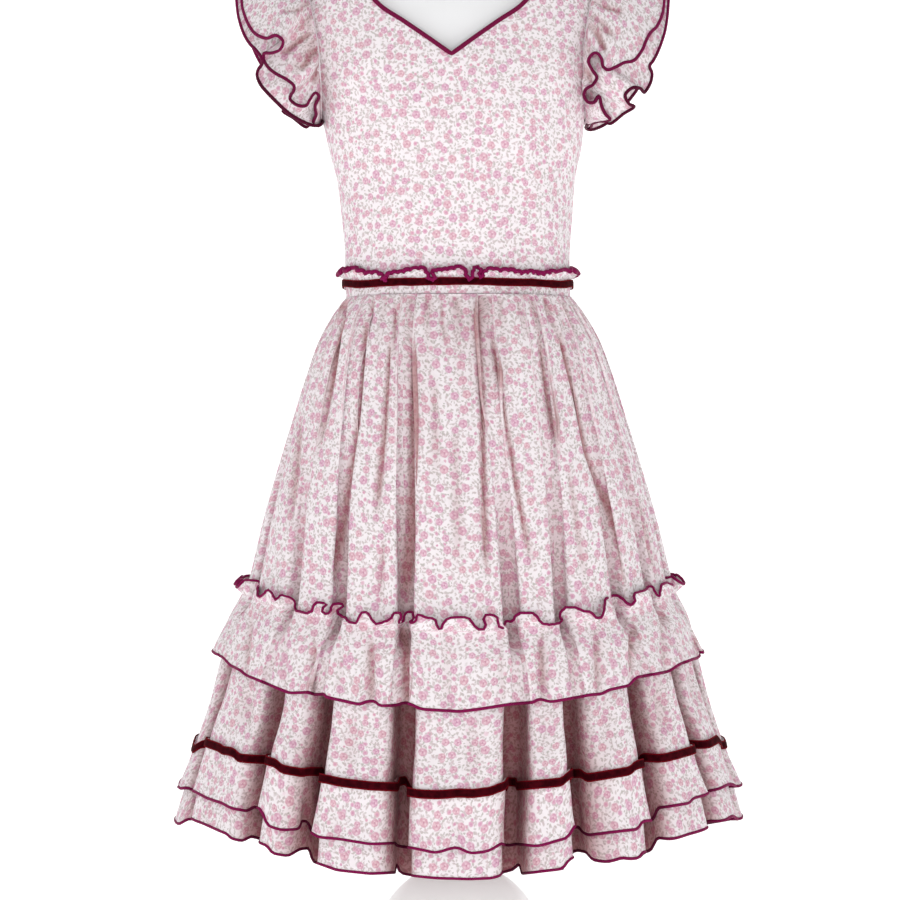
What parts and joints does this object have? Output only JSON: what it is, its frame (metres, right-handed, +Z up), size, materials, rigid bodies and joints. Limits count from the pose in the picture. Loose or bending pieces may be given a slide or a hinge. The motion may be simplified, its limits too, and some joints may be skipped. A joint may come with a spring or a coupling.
{
  "type": "flamenco dress on a limbless dress form",
  "caption": "Girl's flamenco dress in small rose print with plum overlocked flounces, layered cap sleeves and velvet ribbon, on a white dress form with pole, domed foot and base plate.",
  "frame": {"origin": "on the floor under the middle of the base plate", "axes": "+Z up, the front of the dress faces -Y, +X is to the wearer's left"},
  "size_m": [0.5612, 0.4939, 1.052],
  "materials": {
    "printed_cotton": "off-white cotton poplin with small pink roses and grey-green leaves, plum overlocked edges",
    "plum_binding": "plum cotton bias binding",
    "velvet_ribbon": "dark burgundy velvet ribbon",
    "zip_tape": "woven tape",
    "zip_metal": "plum lacquered",
    "form_cover": "smooth white",
    "form_cap": "smooth white",
    "form_pole": "pale grey lacquered tube",
    "dome_plastic": "frosted translucent",
    "plate_paint": "white powder coat"
  },
  "bodies": {
    "dress_and_form": {"bodice_front": "printed_cotton", "bodice_back_left": "printed_cotton", "bodice_back_right": "printed_cotton", "skirt_front": "printed_cotton", "skirt_back_left": "printed_cotton", "skirt_back_right": "printed_cotton", "skirt_tier_front": "printed_cotton", "skirt_tier_back": "printed_cotton", "flounce_1_front": "printed_cotton", "flounce_1_back": "printed_cotton", "flounce_2_front": "printed_cotton", "flounce_2_back": "printed_cotton", "flounce_3_front": "printed_cotton", "flounce_3_back": "printed_cotton", "waist_frill": "printed_cotton", "sleeve_left_under": "printed_cotton", "sleeve_left_upper": "printed_cotton", "sleeve_right_under": "printed_cotton", "sleeve_right_upper": "printed_cotton", "neck_binding": "plum_binding", "hem_ribbon": "velvet_ribbon", "waist_ribbon": "velvet_ribbon", "zip_tape": "zip_tape", "zip_slider": "zip_metal", "form_torso": "form_cover", "form_neck_cap": "form_cap", "form_pole": "form_pole", "pole_socket": "form_cap", "dome_foot": "dome_plastic", "base_plate": "plate_paint"},
    "zip_pull": {"zip_pull": "zip_metal"}
  },
  "joints": [
    {"name": "zip_pull_hinge", "type": "hinge", "parent": "dress_and_form", "child": "zip_pull", "pos_m": [-0.0085, 0.08917, 0.949], "axis": [1, 0, 0], "range_deg": [0, 150]}
  ]
}
